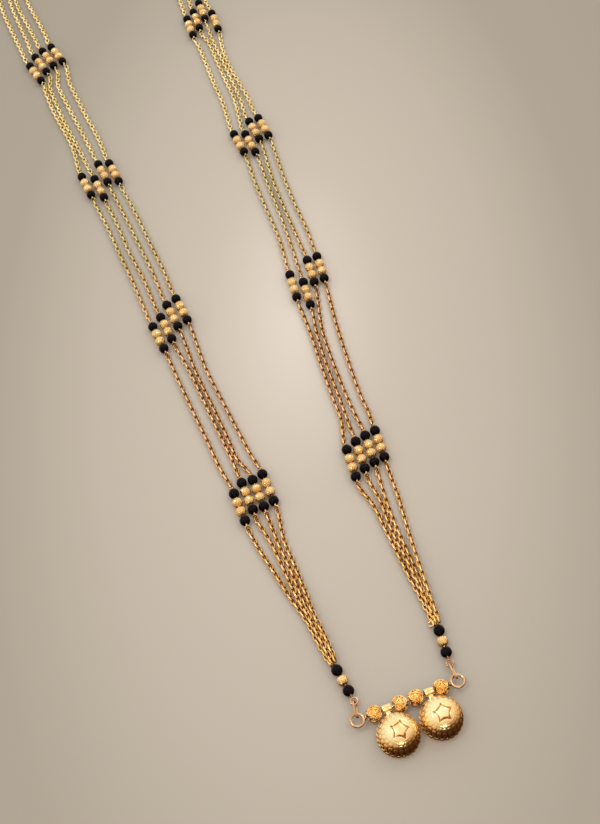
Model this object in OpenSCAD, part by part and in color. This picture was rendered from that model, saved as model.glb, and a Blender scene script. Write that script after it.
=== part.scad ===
// Mangalsutra lying flat: two hollow gold bowls and four rosette balls on a straight wire, a short
// string of beads at each end of the wire, then four fine chains a side that run through groups of
// black and gold beads and meet at a plain clasp behind the neck.
// Millimetres. +Y runs from the bowls to the nape, +Z up from the surface that the necklace lies on.

/* [Bowls] */
// Diameter of a bowl across its scalloped rim
bowl_d = 10; // [8:0.1:12]
// Wall of a bowl
bowl_wall = 0.5; // [0.4:0.1:0.8]
// Height of the straight skirt under the dome
bowl_skirt = 1.2; // [0.8:0.1:2]
// Clear space between the two bowls
bowl_gap = 0.4; // [0.2:0.1:2]
// Number of scallops round the rim
scallops = 24; // [18:1:28]
// Diameter of one scallop
scallop_d = 1; // [0.8:0.05:1.2]
// Width across the tips of the star on the dome
star_d = 4.9; // [3:0.1:5.4]
// Depth of the star
star_depth = 0.2; // [0.1:0.05:0.3]
// Length of a bail tube
bail_len = 2.2; // [1.8:0.1:3]
// Diameter of a bail tube across its round ribs
bail_d = 2; // [1.7:0.1:2.4]
// Number of ribs along a bail tube
bail_ribs = 6; // [6:1:8]

/* [Pendant wire] */
// Diameter of the straight wire
wire_d = 0.6; // [0.5:0.05:0.7]
// Diameter of a rosette ball
ball_d = 3.7; // [3:0.1:4.2]
// Outer diameter of the eye at each end of the wire
eye_d = 3.6; // [3:0.1:4.4]
// Length of wire wrapped between an end ball and its eye
wrap_len = 0.3; // [0.2:0.05:2]
// Diameter over that wrapping
wrap_d = 1.1; // [0.9:0.1:1.6]
// Play between neighbours on the wire
wire_play = 0.1; // [0.1:0.05:0.2]

/* [Links and short strings] */
// Outer length of the oval link
link_len = 4.6; // [3.9:0.1:6]
// Outer width of the oval link
link_w = 2; // [2:0.1:3]
// Wire of the oval link
link_wire_d = 0.5; // [0.4:0.05:0.5]
// Outer diameter of a pin's eye at the link
pin_eye_d = 2.1; // [2.1:0.1:2.8]
// Outer diameter of a pin's eye at the chains
pin_top_d = 1.6; // [1.4:0.1:2.4]
// Bare wire between the link's eye and the first bead
pin_neck = 0.3; // [0:0.1:1]
// Wire of a pin
pin_d = 0.44; // [0.34:0.02:0.5]

/* [Beads] */
// Diameter of a gold bead
gold_bead_d = 2.7; // [2.2:0.1:3.2]
// Diameter of a black bead
black_bead_d = 2.7; // [2.2:0.1:3.2]
// Hole through a bead
bead_hole_d = 0.8; // [0.75:0.05:1]
// Space between beads on one strand
bead_gap = 0.15; // [0.1:0.05:0.4]
// Least space between beads of neighbouring strands
strand_gap = 0.15; // [0.1:0.05:0.6]

/* [Chains] */
// Width of a chain
chain_d = 1.2; // [0.8:0.1:1.3]
// Thin part of a chain that runs through the beads
thread_d = 0.56; // [0.4:0.02:0.56]
// Least space between two chains
chain_gap = 0.1; // [0.1:0.05:0.3]
// Distance from the wire to the first group of beads
first_group = 65; // [60:1:90]
// Distance from one group of beads to the next
group_step = 62; // [50:1:80]
// Width of the loop at its last groups of beads
loop_w = 58; // [52:1:70]

/* [Nape] */
// Length of the clasp
clasp_len = 10; // [8:0.5:14]
// Width of the clasp
clasp_w = 5; // [4:0.5:7]
// Height of the clasp
clasp_h = 3.6; // [3.2:0.1:5]
// Outer diameter of the rings at the clasp
end_ring_d = 3.8; // [3.8:0.1:5]
// Straight run of chain from the last group of beads to the bend at the nape
nape_run = 15; // [13:1:40]

/* [Hidden] */
$fn = 40;
clearance = 0.12;

// Names of the two sides, and how many strands and groups of beads each has
sides = ["left", "right"];
strands = 4;
groups = 5;

// Pendant: turned a little on the table, its middle a little to the right
pendant_turn = 2;
pendant_x = 0.1;
star_turn = [-24, -7];

// Lean of the oval links and of the short strings, left then right
link_lean = [-12, -2];
link_roll = 25;
string_lean = [7, -6];

// Groups of beads from the pendant up, left side then right side: share of the loop's half width out
// to the middle, how far it lies beyond its even place in beads, lean towards -X, spread of the
// strands, and each strand's shift up in beads
group_x = 0;
group_rise = 1;
group_lean = 2;
group_spread = 3;
group_shift = 4;
bead_groups = [
    [
        [0.534, 0, 1, 1, [-0.63, 0.18, 0.11, 0.35]],
        [0.672, 0.18, 5, 1.1, [-1.26, -0.49, 0.7, 1.05]],
        [0.81, 0.18, 5, 1.1, [-0.14, -1.12, 0.84, 0.42]],
        [0.931, -0.53, 12, 1.15, [-1.05, 0, 0.49, 0.56]],
        [1, 0, 0, 1.1, [-0.53, 0.53, -0.35, 0.35]]
    ],
    [
        [0.528, 0.7, -5, 1, [-0.74, -0.11, 0.28, 0.56]],
        [0.734, 0.35, -6, 1.05, [-0.42, -1.75, 0.98, 1.19]],
        [0.855, 0.35, 3, 1.1, [-0.46, -1.02, 0.7, 0.77]],
        [0.914, 0.18, -3, 1, [-1.4, -0.42, 0.98, -1.4]],
        [1, 0, 0, 1.1, [0.35, -0.53, 0.53, -0.35]]
    ]
];

// Way of the chains between the groups, left side then right side. Each row has the station (1.3 is
// three tenths of the way from group 1 to group 2), the four strands' places across in chain widths,
// and how far strands 2 and 4 are piled on the other two
lay_at = 0;
lay_first = 1;
lay_pile = 5;
chain_lay = [
    [
        [0.12, -0.75, -0.25, 0.25, 0.75, 1],
        [0.26, -0.95, -0.4, 0.1, 0.65, 1],
        [0.4, -1.85, -0.75, 0.15, 1.1, 0.5],
        [0.55, -2.5, -0.65, 0.45, 1.5, 0],
        [0.7, -3.25, -0.7, 0.5, 1.75, 0],
        [1.2, -3.5, -0.6, 0.42, 3.2, 0],
        [1.3, -3.45, -0.6, 0.5, 3.05, 0],
        [1.5, -3.5, -0.6, 0.55, 2.8, 0],
        [1.7, -3.5, -0.6, 0.55, 2.7, 0],
        [2.3, -3.3, -0.9, 1.5, 3.9, 0],
        [2.5, -3.3, -1.2, 1.5, 3.9, 0],
        [2.7, -3.2, -0.9, 1.5, 4, 0],
        [3.3, -2.7, -1.6, 1, 3.8, 0],
        [3.5, -3, -1.95, 0.7, 3.5, 0],
        [3.65, -3.2, -1.85, 0.5, 3.4, 0],
        [3.8, -2.85, -1.55, 0.5, 3.45, 0],
        [4.2, -4.5, -2.1, 0, 2.8, 0],
        [4.35, -4.8, -2.25, -0.4, 2.5, 0],
        [4.5, -4.95, -2.35, -0.9, 2, 0],
        [4.7, -4.4, -1.9, -0.3, 2.5, 0],
        [5.35, -3.2, -1, 1, 3.2, 0],
        [5.6, -2, -0.9, 0.1, 1.2, 0.5],
        [5.8, -0.75, -0.25, 0.25, 0.75, 1]
    ],
    [
        [0.12, -0.75, -0.25, 0.25, 0.75, 1],
        [0.26, -1.2, -0.45, 0.3, 1.05, 1],
        [0.4, -1.6, -0.7, 0.2, 1.5, 0.6],
        [0.55, -2, -0.95, 0.08, 2.1, 0],
        [0.7, -2.4, -0.8, 0.22, 2.7, 0],
        [1.2, -2.45, -1.3, 0.55, 3.3, 0],
        [1.3, -2.65, -1.4, 0.1, 2.85, 0],
        [1.5, -2.9, -1.8, -0.4, 2.7, 0],
        [1.7, -3, -1.7, -0.4, 2.8, 0],
        [2.3, -2.6, -0.5, 1.3, 4, 0],
        [2.5, -2.9, -0.4, 1, 3.6, 0],
        [2.7, -3.1, -0.5, 1, 3.6, 0],
        [3.3, -3.2, -0.2, 1.2, 3, 0],
        [3.5, -3.3, -0.33, 1.1, 2.2, 0],
        [3.65, -3.15, -0.3, 0.95, 2, 0],
        [3.8, -3.15, -0.5, 0.85, 2.8, 0],
        [4.3, -2.9, -0.4, 0.7, 2.8, 0],
        [4.5, -3, -0.5, 0.6, 2.8, 0],
        [4.7, -2.9, -0.6, 0.6, 3, 0],
        [5.35, -3.2, -1, 1, 3.2, 0],
        [5.6, -2, -0.9, 0.1, 1.2, 0.5],
        [5.8, -0.75, -0.25, 0.25, 0.75, 1]
    ]
];

// How the tubes of the chains are swept
tube_sides = 8;
ring_step = 6;
land_run = 1.2;
taper_run = 0.3;

// Bowl and bail
dome_r = bowl_d / 2 - scallop_d / 5;
scallop_ring_r = bowl_d / 2 - scallop_d / 2;
scallop_lift = scallop_d / 2 + 0.1;
bail_bore_d = wire_d + 2 * clearance;
bail_rib_d = 0.42 * bail_d;
strap_w = bail_len / 1.5;
strap_h = bail_d / 2;
strap_low = bail_d / 5;
star_notch = 0.63;
ball_step = bail_len / 2 + wire_play + ball_d / 2;
ball_clear = 0.4;
bail_reach = max(
    bowl_d / 2 + bail_d / 2 + clearance,
    sqrt(pow((bowl_d + ball_d) / 2 + ball_clear, 2) - pow(min(ball_step, ball_d), 2))
);

// Places along the pendant wire, from its middle
bar_z = ball_d / 2;
bowl_tilt = asin(bar_z / (bail_reach + bowl_d / 2));
bail_x = max(bowl_d + bowl_gap, bail_len + 2 * ball_d + 3 * wire_play) / 2;
inner_ball_x = (ball_d + wire_play) / 2;
outer_ball_x = bail_x + ball_step;
eye_r = (eye_d - wire_d) / 2;
eye_x = outer_ball_x + ball_d / 2 + wire_play + wrap_len + eye_d / 2;
ball_x = [-outer_ball_x, -inner_ball_x, inner_ball_x, outer_ball_x];

// Rosettes of a ball: five above and five below its waist
ball_core_d = 0.8 * ball_d;
rosette_r = 0.25 * ball_d;
rosette_lip = 0.06 * ball_d;
rosette_tilt = atan(0.5);

// Links and short strings
pin_eye_r = (pin_eye_d - pin_d) / 2;
pin_top_r = (pin_top_d - pin_d) / 2;
link_play = 0.2;
link_wire_gap = link_len - 2 * (link_wire_d + wire_d / 2 + link_play);
string_z = max(black_bead_d, gold_bead_d) / 2;
eye_bead_step = pin_eye_d / 2 + pin_neck + bead_gap + black_bead_d / 2;
top_bead_step = pin_top_d / 2 + bead_gap + black_bead_d / 2;
mixed_step = (black_bead_d + gold_bead_d) / 2 + bead_gap;
pin_span = eye_bead_step + 2 * mixed_step + top_bead_step;
pin_eye_reach = eye_r + link_wire_gap + pin_eye_r;

// Groups of beads: a black, two golds and a black on each strand
strand_step = max(gold_bead_d, black_bead_d) + strand_gap;
bead_step = gold_bead_d + bead_gap;
gold_place = bead_step / 2;
black_place = gold_place + mixed_step;
column_half = black_place + black_bead_d / 2 + 0.1;
bead_z = max(gold_bead_d, black_bead_d) / 2;

// Chains
chain_w = chain_d + chain_gap;
chain_z = chain_d / 2 + 0.05;
pile_step = 0.87 * chain_w;
end_spread = 0.32;

// Nape
clasp_eye_r = 1.5 * wire_d;
end_ring_r = (end_ring_d - wire_d) / 2;
ring_z = max(end_ring_d / 2, clasp_h / 2);
clasp_eye_x = clasp_len / 2 + clasp_eye_r;
end_ring_x = clasp_eye_x + clasp_eye_r - wire_d - clearance + end_ring_r;
gather_x = end_ring_x + end_ring_r + wire_d / 2 + thread_d / 2 + clearance;
last_group_x = bead_groups[0][groups - 1][group_x] * loop_w / 2;
nape_r = last_group_x - gather_x;
nape_y = first_group + (groups - 1) * group_step + nape_run + nape_r;

// Direction that leans a degrees from +Y towards -X, and the direction to its right
function ahead(a) = [-sin(a), cos(a), 0];
function aside(a) = [cos(a), sin(a), 0];
function unit(v) = v / norm(v);
function sign_of(s) = s == 0 ? -1 : 1;

// Centre of the wire's eye, of a pin's lower eye and of its upper eye
function wire_eye(s) = [pendant_x, 0, bar_z] + sign_of(s) * eye_x * aside(pendant_turn);
function pin_start(s) =
    let (p = wire_eye(s) + pin_eye_reach * ahead(link_lean[s])) [p.x, p.y, string_z];
function pin_end(s) = pin_start(s) + pin_span * ahead(string_lean[s]);

// Middle of a group, counted from 1, and a strand's place in it
function group_middle(s, g) =
    let (row = bead_groups[s][g - 1])
    [
        sign_of(s) * row[group_x] * loop_w / 2,
        first_group + (g - 1) * group_step + row[group_rise] * bead_step,
        0
    ];
function strand_middle(s, g, i) =
    let (row = bead_groups[s][g - 1], lean = row[group_lean])
    group_middle(s, g)
        + (i - (strands - 1) / 2) * strand_step * row[group_spread] * aside(lean)
        + row[group_shift][i] * bead_step * ahead(lean)
        + [0, 0, bead_z];

// Middle line of the four chains at a station, and its direction
nape_len = nape_run + nape_r * PI / 2;
function nape_turn(t) = max(0, (t * nape_len - nape_run) / nape_r) * 180 / PI;
function nape_point(s, t) =
    let (a = nape_turn(t), run = min(t * nape_len, nape_run))
    [
        sign_of(s) * (last_group_x - nape_r + nape_r * cos(a)),
        nape_y - nape_r - nape_run + run + nape_r * sin(a),
        0
    ];
function station(s, n) = n == 0 ? pin_end(s) : group_middle(s, n);
function middle_line(s, t) =
    t >= groups
        ? nape_point(s, t - groups)
        : let (n = floor(t), a = station(s, n), b = station(s, n + 1), p = a + (t - n) * (b - a))
            [p.x, p.y, 0];
function middle_dir(s, t) =
    let (n = floor(t))
    t >= groups
        ? ahead(sign_of(s) * nape_turn(t - groups))
        : let (d = station(s, n + 1) - station(s, n)) unit([d.x, d.y, 0]);

// Knots of a strand: place, half width of the tube, and direction where it is fixed
free = [0, 0, 0];
function lay_knots(s, i, n) = [
    for (row = chain_lay[s])
        if (floor(row[lay_at]) == n)
            let (
                d = middle_dir(s, row[lay_at]),
                lift = i % 2 == 1 ? row[lay_pile] * pile_step : 0
            )
            [
                middle_line(s, row[lay_at]) + row[lay_first + i] * chain_w * [d.y, -d.x, 0]
                    + [0, 0, chain_z + lift],
                chain_d / 2,
                free
            ]
];
function group_knots(s, i, g) =
    let (
        d = ahead(bead_groups[s][g - 1][group_lean]),
        m = strand_middle(s, g, i),
        outer = column_half + taper_run,
        down = [0, 0, chain_z - bead_z]
    )
    [
        [m - (outer + land_run) * d + down, chain_d / 2, free],
        [m - outer * d, chain_d / 2, d],
        [m - column_half * d, thread_d / 2, d],
        [m + column_half * d, thread_d / 2, d],
        [m + outer * d, chain_d / 2, d],
        [m + (outer + land_run) * d + down, chain_d / 2, free]
    ];
function end_knot(s, i, t) =
    let (
        d = t == 0 ? ahead(string_lean[s]) : middle_dir(s, t),
        across = end_spread * (i - (strands - 1) / 2) * chain_w,
        lift = t == 0 ? (pin_d + thread_d) / 2 + clearance : end_spread,
        z = (t == 0 ? string_z : ring_z) + (i % 2 == 1 ? lift : -lift),
        p = t == 0 ? pin_end(s) : nape_point(s, t - groups)
    )
    [[p.x, p.y, z] + across * [d.y, -d.x, 0], thread_d / 2, d];
function strand_knots(s, i) = concat(
    [end_knot(s, i, 0)],
    lay_knots(s, i, 0),
    [for (g = [1:groups]) each concat(group_knots(s, i, g), lay_knots(s, i, g))],
    [end_knot(s, i, groups + 1)]
);

// Smooth way through the knots, as points with the tube's half width
function knot_dir(k, n) = k[n][2] != free ? k[n][2] : unit(k[n + 1][0] - k[n - 1][0]);
function steps(k, n) =
    k[n][2] != free && k[n + 1][2] != free && k[n + 1][1] + k[n][1] < chain_d
        ? 1
        : max(1, round(norm(k[n + 1][0] - k[n][0]) / ring_step));
function blend(a, b, da, db, u) =
    let (len = norm(b - a), v = u * u, w = v * u)
    (2 * w - 3 * v + 1) * a + (w - 2 * v + u) * len * da
        + (3 * v - 2 * w) * b + (w - v) * len * db;
function strand_way(k) = [
    for (n = [0:len(k) - 2], j = [0:steps(k, n) - 1])
        let (
            u = j / steps(k, n),
            p = blend(k[n][0], k[n + 1][0], knot_dir(k, n), knot_dir(k, n + 1), u)
        )
        [[p.x, p.y, max(p.z, chain_z)], (1 - u) * k[n][1] + u * k[n + 1][1]],
    [k[len(k) - 1][0], k[len(k) - 1][1]]
];

// The part's own frame: the middle of its box at x = y = 0
every_way = [for (s = [0, 1], i = [0:strands - 1]) each strand_way(strand_knots(s, i))];
bead_x = [for (s = [0, 1], g = [1:groups], i = [0:strands - 1], v = [-1, 1])
    (strand_middle(s, g, i) + v * gold_place * ahead(bead_groups[s][g - 1][group_lean])).x];
low_x = min(min(bead_x) - bead_z, min([for (w = every_way) w[0].x]) - chain_d / 2);
high_x = max(max(bead_x) + bead_z, max([for (w = every_way) w[0].x]) + chain_d / 2);
bowl_low_y = -bail_x * sin(pendant_turn) - bail_reach * cos(bowl_tilt) * cos(pendant_turn)
    - dome_r - bowl_skirt * sin(bowl_tilt);
high_y = max(nape_y + clasp_w / 2, max([for (w = every_way) w[0].y]) + chain_d / 2);
shift = [-(low_x + high_x) / 2, -(bowl_low_y + high_y) / 2, 0];

module placed() {
    translate(shift) children();
}

module ring(r, wire) {
    rotate_extrude() translate([r, 0]) circle(d = wire);
}

// Tube through the points of a way, with a flat cap at each end
module tube(way) {
    last = len(way) - 1;
    function along(n) = unit(way[min(n + 1, last)][0] - way[max(n - 1, 0)][0]);
    points = [
        for (n = [0:last])
            let (d = along(n), right = unit(cross(d, [0, 0, 1])), up = cross(right, d))
            for (j = [0:tube_sides - 1])
                let (a = 360 * (j + 0.5) / tube_sides)
                way[n][0] + way[n][1] * (cos(a) * right + sin(a) * up)
    ];
    walls = [
        for (n = [0:last - 1], j = [0:tube_sides - 1])
            let (
                a = n * tube_sides + j,
                b = n * tube_sides + (j + 1) % tube_sides
            )
            each [[a, a + tube_sides, b + tube_sides], [a, b + tube_sides, b]]
    ];
    near_cap = [for (j = [0:tube_sides - 1]) j];
    far_cap = [for (j = [tube_sides - 1:-1:0]) last * tube_sides + j];
    polyhedron(points, concat(walls, [near_cap, far_cap]));
}

module bead(d) {
    difference() {
        sphere(d = d);
        cylinder(d = bead_hole_d, h = d + 1, center = true);
    }
}

module bead_at(p, lean, d) {
    translate(p) rotate([-90, 0, lean]) bead(d);
}

// Everything on the wire is drawn about the wire's middle and laid down here
module on_wire() {
    placed() translate([pendant_x, 0, bar_z]) rotate(pendant_turn) children();
}

module pendant_wire() {
    wrap_x = eye_x - eye_d / 2 - wrap_len / 2;
    bite = wire_d / 2;
    color("goldenrod") on_wire() {
        rotate([0, 90, 0]) cylinder(d = wire_d, h = 2 * wrap_x, center = true);
        for (v = [-1, 1]) {
            translate([v * eye_x, 0, 0]) ring(eye_r, wire_d);
            translate([v * (wrap_x + bite / 2), 0, 0])
                rotate([0, 90, 0]) cylinder(d = wrap_d, h = wrap_len + bite, center = true);
        }
    }
}

// One rosette: a disc with a raised lip and a raised dot, its axis along +Z
module rosette() {
    base = ball_core_d / 2 - rosette_lip * 2;
    lip = sqrt(pow(ball_d / 2, 2) - rosette_r * rosette_r);
    floor_z = lip - rosette_lip / 2;
    dot = rosette_r / 3;
    rotate_extrude() polygon([
        [0, base], [rosette_r, base], [rosette_r, lip], [rosette_r - rosette_lip, lip],
        [rosette_r - rosette_lip, floor_z], [dot, floor_z], [dot, lip + rosette_lip / 2],
        [0, lip + rosette_lip / 2]
    ]);
}

module bar_ball(n) {
    color("gold") on_wire() translate([ball_x[n - 1], 0, 0]) rotate([37 * n, 0, 0])
        difference() {
            union() {
                sphere(d = ball_core_d);
                for (v = [0, 1], k = [0:4])
                    rotate([72 * k + 36 * v, 0, 0])
                        rotate([0, v == 0 ? rosette_tilt : -rosette_tilt, 0])
                            rosette();
            }
            rotate([0, 90, 0]) cylinder(d = bail_bore_d, h = ball_d + 1, center = true);
        }
}

// Five-pointed star with hollow sides
module star(r) {
    chord = r * sin(36);
    sag = r * (cos(36) - star_notch);
    cut_r = (chord * chord + sag * sag) / (2 * sag);
    difference() {
        circle(r = r, $fn = 5);
        for (k = [0:4])
            rotate(72 * k + 36) translate([r * cos(36) - sag + cut_r, 0]) circle(r = cut_r);
    }
}

module bowl_profile(r) {
    intersection() {
        union() {
            translate([0, bowl_skirt]) circle(r = r);
            translate([0, -1]) square([r, bowl_skirt + 1]);
        }
        translate([0, -1]) square([r, bowl_skirt + r + 1]);
    }
}

// Bowl with its rim in the plane z = 0 and its bail behind it
module bowl_shape(turn) {
    star_r = star_d / 2;
    difference() {
        union() {
            rotate_extrude() intersection() {
                bowl_profile(dome_r);
                square([bowl_d, bowl_d]);
            }
            for (k = [1:scallops])
                rotate(360 * k / scallops) translate([scallop_ring_r, 0, scallop_lift])
                    sphere(d = scallop_d);
            translate([-strap_w / 2, dome_r - bowl_wall, -strap_low])
                cube([strap_w, bail_reach - dome_r + bowl_wall, strap_h]);
            translate([0, bail_reach, 0]) rotate([0, 90, 0]) {
                cylinder(d = bail_d - bail_rib_d, h = bail_len, center = true);
                for (k = [1:bail_ribs])
                    rotate(360 * k / bail_ribs) translate([(bail_d - bail_rib_d) / 2, 0, 0])
                        cylinder(d = bail_rib_d, h = bail_len, center = true, $fn = 16);
            }
        }
        rotate_extrude() bowl_profile(dome_r - bowl_wall);
        translate([0, bail_reach, 0]) rotate([0, 90, 0])
            cylinder(d = bail_bore_d, h = bail_len + 1, center = true);
        difference() {
            translate([0, 0, bowl_skirt]) rotate(90 + turn)
                linear_extrude(bowl_d) star(star_r);
            translate([0, 0, bowl_skirt]) sphere(r = dome_r - star_depth);
        }
    }
}

module bowl(s) {
    color("gold") on_wire() translate([sign_of(s) * bail_x, 0, 0]) rotate([bowl_tilt, 0, 0])
        translate([0, -bail_reach, 0]) bowl_shape(star_turn[s]);
}

// Oval link that holds the wire's eye and the pin's eye
module link(s) {
    far = wire_eye(s) + eye_r * ahead(link_lean[s]);
    near = pin_start(s) - pin_eye_r * ahead(link_lean[s]);
    bend_r = (link_w - link_wire_d) / 2;
    straight = (link_len - link_w) / 2;
    pitch = asin((near.z - far.z) / norm(near - far));
    color("rosybrown") placed() translate((far + near) / 2)
        rotate([pitch, 0, link_lean[s]]) rotate([0, 90 - link_roll, 0]) {
            for (v = [0, 180])
                rotate(v) translate([0, straight, 0])
                    rotate_extrude(angle = 180) translate([bend_r, 0]) circle(d = link_wire_d);
            for (v = [-1, 1])
                translate([v * bend_r, 0, 0]) rotate([90, 0, 0])
                    cylinder(d = link_wire_d, h = 2 * straight, center = true);
        }
}

module drop_pin(s) {
    color("rosybrown") placed() translate(pin_start(s)) rotate(string_lean[s]) {
        ring(pin_eye_r, pin_d);
        translate([0, pin_span, 0]) ring(pin_top_r, pin_d);
        translate([0, pin_eye_r, 0]) rotate([-90, 0, 0])
            cylinder(d = pin_d, h = pin_span - pin_eye_r - pin_top_r);
    }
}

module drop_beads(s, places, d) {
    placed() for (v = places)
        bead_at(pin_start(s) + v * ahead(string_lean[s]), string_lean[s], d);
}

module drop_black(s) {
    color("black") drop_beads(s, [eye_bead_step, eye_bead_step + 2 * mixed_step], black_bead_d);
}

module drop_gold(s) {
    color("gold") drop_beads(s, [eye_bead_step + mixed_step], gold_bead_d);
}

module group_beads(s, g, place, d) {
    lean = bead_groups[s][g - 1][group_lean];
    placed() for (i = [0:strands - 1], v = [-1, 1])
        bead_at(strand_middle(s, g, i) + v * place * ahead(lean), lean, d);
}

module black_beads(s, g) {
    color("black") group_beads(s, g, black_place, black_bead_d);
}

module gold_beads(s, g) {
    color("gold") group_beads(s, g, gold_place, gold_bead_d);
}

module chain(s, i) {
    color("peru") placed() tube(strand_way(strand_knots(s, i)));
}

module end_ring(s) {
    color("goldenrod") placed() translate([sign_of(s) * end_ring_x, nape_y, ring_z])
        rotate([90, 0, 0]) ring(end_ring_r, wire_d);
}

module clasp() {
    color("gold") placed() translate([0, nape_y, 0]) {
        translate([-clasp_len / 2, -clasp_w / 2, 0]) cube([clasp_len, clasp_w, clasp_h]);
        for (v = [-1, 1])
            translate([v * clasp_eye_x, 0, ring_z]) ring(clasp_eye_r, wire_d);
    }
}

pendant_wire();
clasp();
for (n = [1:4])
    bar_ball(n);
for (s = [0, 1]) {
    bowl(s);
    link(s);
    drop_pin(s);
    drop_black(s);
    drop_gold(s);
    end_ring(s);
    for (g = [1:groups]) {
        black_beads(s, g);
        gold_beads(s, g);
    }
    for (i = [1:strands])
        chain(s, i - 1);
}
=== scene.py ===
import math
import random

import bpy
from mathutils import Matrix, Vector


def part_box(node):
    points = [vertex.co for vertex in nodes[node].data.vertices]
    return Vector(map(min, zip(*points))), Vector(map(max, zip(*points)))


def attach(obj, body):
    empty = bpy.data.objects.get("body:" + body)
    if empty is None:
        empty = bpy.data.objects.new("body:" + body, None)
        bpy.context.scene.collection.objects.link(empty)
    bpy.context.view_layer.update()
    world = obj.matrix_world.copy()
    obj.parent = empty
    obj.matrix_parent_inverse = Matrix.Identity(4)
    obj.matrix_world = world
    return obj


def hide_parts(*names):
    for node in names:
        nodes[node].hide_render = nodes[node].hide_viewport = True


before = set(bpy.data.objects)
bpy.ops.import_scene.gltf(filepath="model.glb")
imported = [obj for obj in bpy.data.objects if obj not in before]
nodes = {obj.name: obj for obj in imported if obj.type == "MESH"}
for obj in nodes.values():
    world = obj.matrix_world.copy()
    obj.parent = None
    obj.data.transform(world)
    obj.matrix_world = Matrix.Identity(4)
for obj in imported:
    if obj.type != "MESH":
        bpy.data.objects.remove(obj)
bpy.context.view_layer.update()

# The necklace lies on the floor, clasp towards +Y. Sizes below are millimetres, meshes are metres.
mm = 0.001
sides = {"left": -1, "right": 1}  # which way each side lies along the pendant's wire


# Mesh helpers

class Shape:
    # points in millimetres and faces, gathered from many small forms into one mesh,
    # with the painted shade of each point: 0 on polished gold to 1 in a hollow painted dark as shade
    def __init__(self):
        self.points = []
        self.faces = []
        self.paintedShade = []

    def add(self, points, faces, place=None, paintedShade=None):
        start = len(self.points)
        self.points += [place @ Vector(p) for p in points] if place else [Vector(p) for p in points]
        self.faces += [[start + i for i in face] for face in faces]
        self.paintedShade += paintedShade or [0.0] * len(points)

    def move(self, place):
        self.points = [place @ p for p in self.points]


def meshObject(name, shape, material, smooth=True):
    mesh = bpy.data.meshes.new(name)
    mesh.from_pydata([p * mm for p in shape.points], [], shape.faces)
    mesh.materials.append(material)
    mesh.polygons.foreach_set("use_smooth", [smooth] * len(mesh.polygons))
    # each point's painted shade goes on the mesh as an attribute that darkens the material's colour
    if any(shape.paintedShade):
        mesh.attributes.new("paintedShade", "FLOAT", "POINT").data.foreach_set("value", shape.paintedShade)
    mesh.update()
    made = bpy.data.objects.new(name, mesh)
    bpy.context.scene.collection.objects.link(made)
    return made


def makePiece(name, shape, material, node=None, smooth=True):
    # one mesh that rides with the necklace, and stands for a CAD node unless it is trim
    piece = meshObject(name, shape, material, smooth)
    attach(piece, "root")
    if node:
        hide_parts(node)
        showFit(piece, node)


def showFit(piece, node):
    # how far each side of the piece's box is from the node's box, in millimetres
    low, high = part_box(node)
    points = [v.co for v in piece.data.vertices]
    off = [round((min(p[k] for p in points) - low[k]) / mm, 2) for k in range(3)]
    off += [round((max(p[k] for p in points) - high[k]) / mm, 2) for k in range(3)]
    print("fit", piece.name, off)


def turnsRound(count):
    # angles of evenly spaced points on a circle
    return [2 * math.pi * j / count for j in range(count)]


def inRadians(*degrees):
    return [math.radians(d) for d in degrees]


def bridge(rows, closed=False, caps=False):
    # points of all rows, and the faces between rows that go round with the same count
    count = len(rows[0])
    faces = []
    for n in range(len(rows) if closed else len(rows) - 1):
        a, b = n * count, (n + 1) % len(rows) * count
        for j in range(count):
            k = (j + 1) % count
            faces.append([a + j, a + k, b + k, b + j])
    if caps:
        last = (len(rows) - 1) * count
        faces.append(list(range(count))[::-1])
        faces.append([last + j for j in range(count)])
    return [p for row in rows for p in row], faces


def sweep(way, radius, sidesRound, closed=False):
    # wire along the points of a way, round in section, with a flat cap at each open end
    way = [Vector(p) for p in way]
    last = len(way) - 1
    rows, side = [], None
    for n, p in enumerate(way):
        ahead = way[(n + 1) % len(way)] if closed or n < last else p
        behind = way[n - 1] if closed or n > 0 else p
        along = (ahead - behind).normalized()
        if side is None:
            side = along.orthogonal().normalized()
        side = (side - along * side.dot(along)).normalized()
        up = along.cross(side)
        turns = turnsRound(sidesRound)
        rows.append([p + (side * math.cos(t) + up * math.sin(t)) * radius for t in turns])
    return bridge(rows, closed, not closed)


def ovalWay(halfLong, halfWide, count):
    # oval in the XY plane, long along Y
    return [(halfWide * math.cos(t), halfLong * math.sin(t), 0) for t in turnsRound(count)]


def wireRing(radius, wire, count, sidesRound):
    # closed round ring of wire, radius to the wire's middle
    return sweep(ovalWay(radius, radius, count), wire / 2, sidesRound, True)


def ringRow(radius, height, count):
    return [Vector((radius * math.cos(t), radius * math.sin(t), height)) for t in turnsRound(count)]


def revolve(profile, count):
    # round form about Z from (radius, height) pairs
    return bridge([ringRow(r, z, count) for r, z in profile])


def aimY(direction, roll=0.0, at=(0, 0, 0)):
    # place whose Y runs along a direction and whose X is level before the roll about Y
    y = Vector(direction).normalized()
    x = y.cross(Vector((0, 0, 1))).normalized()
    z = x.cross(y)
    turn = Matrix((x, y, z)).transposed().to_4x4()
    return Matrix.Translation(Vector(at)) @ turn @ Matrix.Rotation(roll, 4, "Y")


def smoothStep(x):
    x = max(0.0, min(1.0, x))
    return x * x * (3 - 2 * x)


# What the frame says about the solids

def cadMesh(node):
    # merged points of a node in millimetres, and the neighbours of each
    mesh = nodes[node].data
    index, points, merged = {}, [], []
    for v in mesh.vertices:
        key = tuple(round(c / mm, 2) for c in v.co)
        if key not in index:
            index[key] = len(points)
            points.append(v.co / mm)
        merged.append(index[key])
    near = [set() for p in points]
    for edge in mesh.edges:
        a, b = merged[edge.vertices[0]], merged[edge.vertices[1]]
        if a != b:
            near[a].add(b)
            near[b].add(a)
    return points, near


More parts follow.
